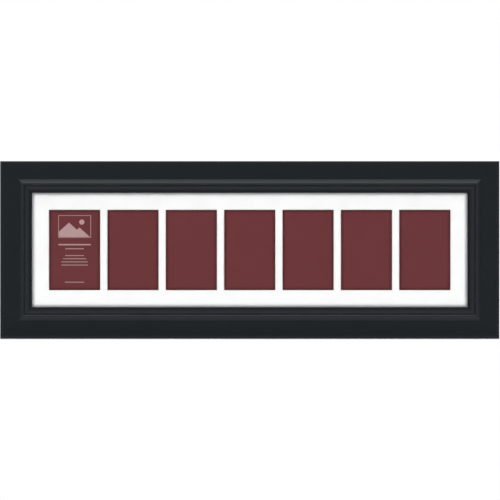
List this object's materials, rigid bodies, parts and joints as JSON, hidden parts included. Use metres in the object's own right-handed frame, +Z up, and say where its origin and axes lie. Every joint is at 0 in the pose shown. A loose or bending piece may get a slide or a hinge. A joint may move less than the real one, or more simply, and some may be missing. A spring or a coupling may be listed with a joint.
{
  "type": "collage photo frame",
  "caption": "Long black wall frame with a mitred moulding and a white mat whose row of portrait windows shows small prints behind a clear facing, held by turn buttons and hung on rings.",
  "frame": {"origin": "middle of the wall plane, which the four bumper faces touch", "axes": "+X along the frame to the viewer's right, +Y towards the wall, +Z up"},
  "size_m": [0.8676, 0.0238, 0.3088],
  "materials": {
    "moulding_paint": "satin",
    "facing_acrylic": "polished",
    "mat_board": "matte",
    "print_card": "satin",
    "hinge_tape": "matte",
    "backing_hardboard": "matte",
    "plated_steel": "satin",
    "bumper_rubber": "matte"
  },
  "bodies": {
    "frame": {"top_rail": "moulding_paint", "bottom_rail": "moulding_paint", "left_rail": "moulding_paint", "right_rail": "moulding_paint", "photo_card_1": "print_card", "photo_card_2": "print_card", "photo_card_3": "print_card", "photo_card_4": "print_card", "photo_card_5": "print_card", "photo_card_6": "print_card", "photo_card_7": "print_card", "clear_facing": "facing_acrylic", "collage_mat": "mat_board", "print_hinges": "hinge_tape", "backing_board": "backing_hardboard", "wall_bumpers": "bumper_rubber", "corner_v_nails": "plated_steel", "button_screws": "plated_steel", "strap_screws": "plated_steel", "hanger_strap_left": "plated_steel", "hanger_strap_right": "plated_steel"},
    "turn_button_left": {"turn_button_left": "plated_steel"},
    "turn_button_right": {"turn_button_right": "plated_steel"},
    "turn_button_top_1": {"turn_button_top_1": "plated_steel"},
    "turn_button_bottom_1": {"turn_button_bottom_1": "plated_steel"},
    "turn_button_top_2": {"turn_button_top_2": "plated_steel"},
    "turn_button_bottom_2": {"turn_button_bottom_2": "plated_steel"},
    "turn_button_top_3": {"turn_button_top_3": "plated_steel"},
    "turn_button_bottom_3": {"turn_button_bottom_3": "plated_steel"},
    "d_ring_left": {"d_ring_left": "plated_steel"},
    "d_ring_right": {"d_ring_right": "plated_steel"}
  },
  "joints": [
    {"name": "turn_button_left_turn", "type": "hinge", "parent": "frame", "child": "turn_button_left", "pos_m": [-0.3893, -0.0042, 0], "axis": [0, 1, 0], "continuous": true},
    {"name": "turn_button_right_turn", "type": "hinge", "parent": "frame", "child": "turn_button_right", "pos_m": [0.3893, -0.0042, 0], "axis": [0, 1, 0], "continuous": true},
    {"name": "turn_button_top_1_turn", "type": "hinge", "parent": "frame", "child": "turn_button_top_1", "pos_m": [-0.254, -0.0042, 0.1099], "axis": [0, 1, 0], "continuous": true},
    {"name": "turn_button_bottom_1_turn", "type": "hinge", "parent": "frame", "child": "turn_button_bottom_1", "pos_m": [-0.254, -0.0042, -0.1099], "axis": [0, 1, 0], "continuous": true},
    {"name": "turn_button_top_2_turn", "type": "hinge", "parent": "frame", "child": "turn_button_top_2", "pos_m": [0, -0.0042, 0.1099], "axis": [0, 1, 0], "continuous": true},
    {"name": "turn_button_bottom_2_turn", "type": "hinge", "parent": "frame", "child": "turn_button_bottom_2", "pos_m": [0, -0.0042, -0.1099], "axis": [0, 1, 0], "continuous": true},
    {"name": "turn_button_top_3_turn", "type": "hinge", "parent": "frame", "child": "turn_button_top_3", "pos_m": [0.254, -0.0042, 0.1099], "axis": [0, 1, 0], "continuous": true},
    {"name": "turn_button_bottom_3_turn", "type": "hinge", "parent": "frame", "child": "turn_button_bottom_3", "pos_m": [0.254, -0.0042, -0.1099], "axis": [0, 1, 0], "continuous": true},
    {"name": "d_ring_left_swing", "type": "hinge", "parent": "frame", "child": "d_ring_left", "pos_m": [-0.4063, -0.00264, 0.076], "axis": [-1, 0, 0], "range_deg": [0, 177]},
    {"name": "d_ring_right_swing", "type": "hinge", "parent": "frame", "child": "d_ring_right", "pos_m": [0.4063, -0.00264, 0.076], "axis": [-1, 0, 0], "range_deg": [0, 177]}
  ]
}
